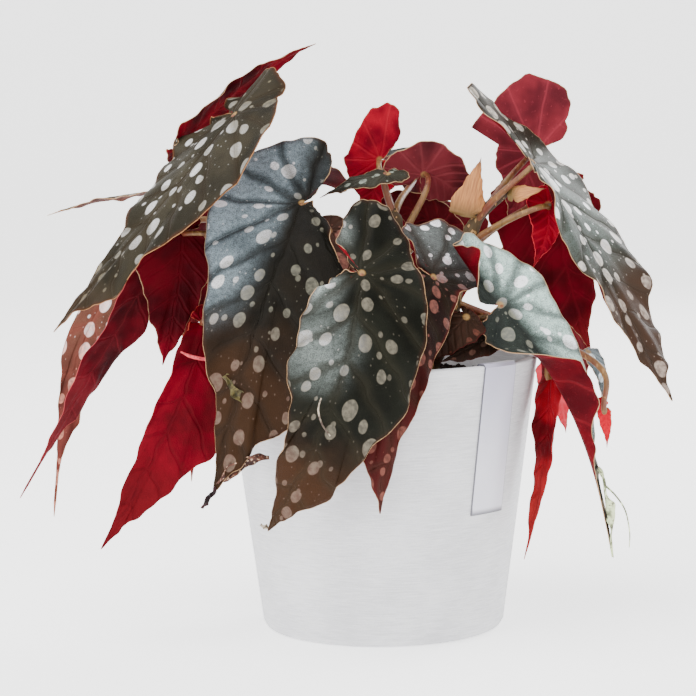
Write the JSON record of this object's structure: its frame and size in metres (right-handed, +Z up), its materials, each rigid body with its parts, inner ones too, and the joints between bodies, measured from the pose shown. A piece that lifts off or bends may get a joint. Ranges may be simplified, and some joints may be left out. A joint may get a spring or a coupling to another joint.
{
  "type": "potted polka dot begonia",
  "caption": "Leafy angel-wing begonia with silver-spotted dark leaves, red undersides and upright canes in a white tapered pot.",
  "frame": {"origin": "middle of the pot's foot, on the floor", "axes": "+Z up; the front of the plant, as in the picture, looks along -Y; +X is the viewer's right"},
  "size_m": [0.3114, 0.2066, 0.2793],
  "materials": {
    "pot_clay": "matte, with fine level streaks",
    "potting_mix": "rough crumbs",
    "label_film": "milky film, blank",
    "cane_skin": "smooth green-brown skin",
    "leaf_green": "dark green upper face with silver dots, red underside",
    "leaf_red": "red underside turned outwards, dark upper face",
    "sheath": "papery tan"
  },
  "bodies": {
    "root": {"leaf_back_left": "leaf_green", "leaf_back_low": "leaf_green", "leaf_back_low_left": "leaf_green", "leaf_back_middle": "leaf_green", "leaf_back_right": "leaf_green", "leaf_back_top": "leaf_green", "leaf_edge_on": "leaf_green", "leaf_far_left_brown": "leaf_green", "leaf_far_left_red": "leaf_red", "leaf_front_gap": "leaf_green", "leaf_front_left": "leaf_green", "leaf_front_middle": "leaf_green", "leaf_front_right": "leaf_green", "leaf_hanging_right": "leaf_red", "leaf_inner_left_red": "leaf_red", "leaf_inside_right": "leaf_green", "leaf_low_left_red": "leaf_red", "leaf_middle_back": "leaf_green", "leaf_middle_maroon": "leaf_red", "leaf_pink_right": "leaf_red", "leaf_right_back": "leaf_red", "leaf_right_low": "leaf_green", "leaf_right_rim": "leaf_green", "leaf_small_dotted": "leaf_green", "leaf_small_red": "leaf_red", "leaf_tall_left": "leaf_green", "leaf_tall_right": "leaf_green", "leaf_thin_left": "leaf_green", "leaf_top_left_red": "leaf_red", "leaf_top_middle": "leaf_red", "leaf_top_right": "leaf_red", "leaf_young_red": "leaf_red", "pot": "pot_clay", "rim_label": "label_film", "soil": "potting_mix", "stem_left": "cane_skin", "stem_middle": "cane_skin", "stem_right": "cane_skin", "stipule_right": "sheath", "stipule_tall": "sheath"}
  },
  "joints": []
}
